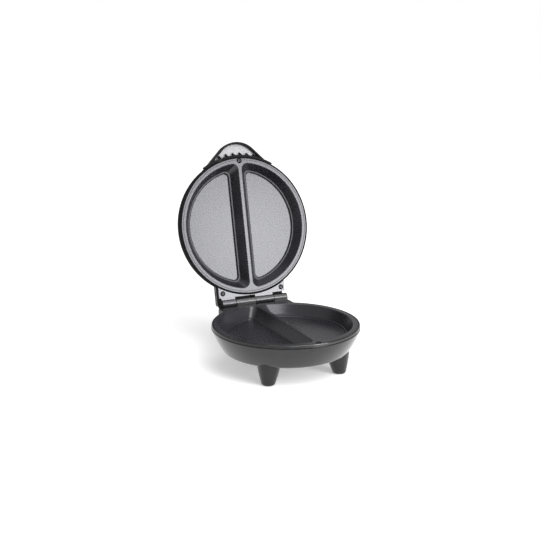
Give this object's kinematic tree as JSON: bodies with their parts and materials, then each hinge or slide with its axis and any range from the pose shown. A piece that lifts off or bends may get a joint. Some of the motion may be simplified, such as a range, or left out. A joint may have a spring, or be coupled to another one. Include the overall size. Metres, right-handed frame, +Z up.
{
  "type": "electric omelette maker",
  "caption": "Round countertop omelette maker with a hinged lid standing open, D-shaped cooking pockets in both plates, a loop handle and tapered legs.",
  "frame": {"origin": "on the floor, under the middle of the bowl", "axes": "+X to the right seen from the front, +Y to the hinge at the back, +Z up"},
  "size_m": [0.2228, 0.3152, 0.3196],
  "materials": {
    "gloss_casing": "gloss",
    "black_rim": "gloss",
    "plate_coating": "satin non-stick coating",
    "screw_steel": "plain",
    "element_steel": "heat darkened",
    "shield_sheet": "mill",
    "switch_body": "matt",
    "fuse_brass": "plain",
    "terminal_plastic": "matt",
    "lead_sleeve": "matt",
    "black_rubber": "matt",
    "hinge_grey": "satin",
    "hinge_metal": "satin",
    "satin_leg": "satin",
    "handle_black": "satin",
    "board_laminate": "matt",
    "neon_glass": "clear",
    "red_lens": "gloss",
    "green_lens": "gloss"
  },
  "bodies": {
    "base": {"base_casing": "gloss_casing", "base_bezel": "black_rim", "base_cooking_plate": "plate_coating", "base_plate_screw": "screw_steel", "base_heating_element": "element_steel", "base_element_clips": "element_steel", "base_heat_shield": "shield_sheet", "base_shield_screws": "screw_steel", "base_thermostat": "switch_body", "thermal_fuse": "fuse_brass", "base_terminal_block": "terminal_plastic", "base_leads": "lead_sleeve", "base_supply_lead": "lead_sleeve", "cord_grommet": "black_rubber", "base_hinge_block": "hinge_grey", "hinge_block_screws": "screw_steel", "hinge_pins": "screw_steel", "leg_pads": "black_rubber", "leg_screws": "screw_steel", "leg_front_left": "satin_leg", "leg_front_right": "satin_leg", "leg_rear_left": "satin_leg", "leg_rear_right": "satin_leg"},
    "lid": {"lid_casing": "gloss_casing", "lid_bezel": "black_rim", "lid_cooking_plate": "plate_coating", "lid_plate_screw": "screw_steel", "lid_heating_element": "element_steel", "lid_element_clips": "element_steel", "lid_heat_shield": "shield_sheet", "lid_shield_screws": "screw_steel", "lid_thermostat": "switch_body", "lid_hinge_plate": "hinge_metal", "hinge_plate_screws": "screw_steel", "lid_terminal_block": "terminal_plastic", "lid_leads": "lead_sleeve", "lid_supply_lead": "lead_sleeve", "lamp_lead": "lead_sleeve", "lamp_board": "board_laminate", "neon_lamps": "neon_glass", "power_lamp_lens": "red_lens", "ready_lamp_lens": "green_lens", "handle": "handle_black", "handle_screws": "screw_steel"}
  },
  "joints": [
    {"name": "lid_hinge", "type": "hinge", "parent": "base", "child": "lid", "pos_m": [0, 0.1211, 0.0712], "axis": [1, 0, 0], "range_deg": [0, 103.5]}
  ]
}
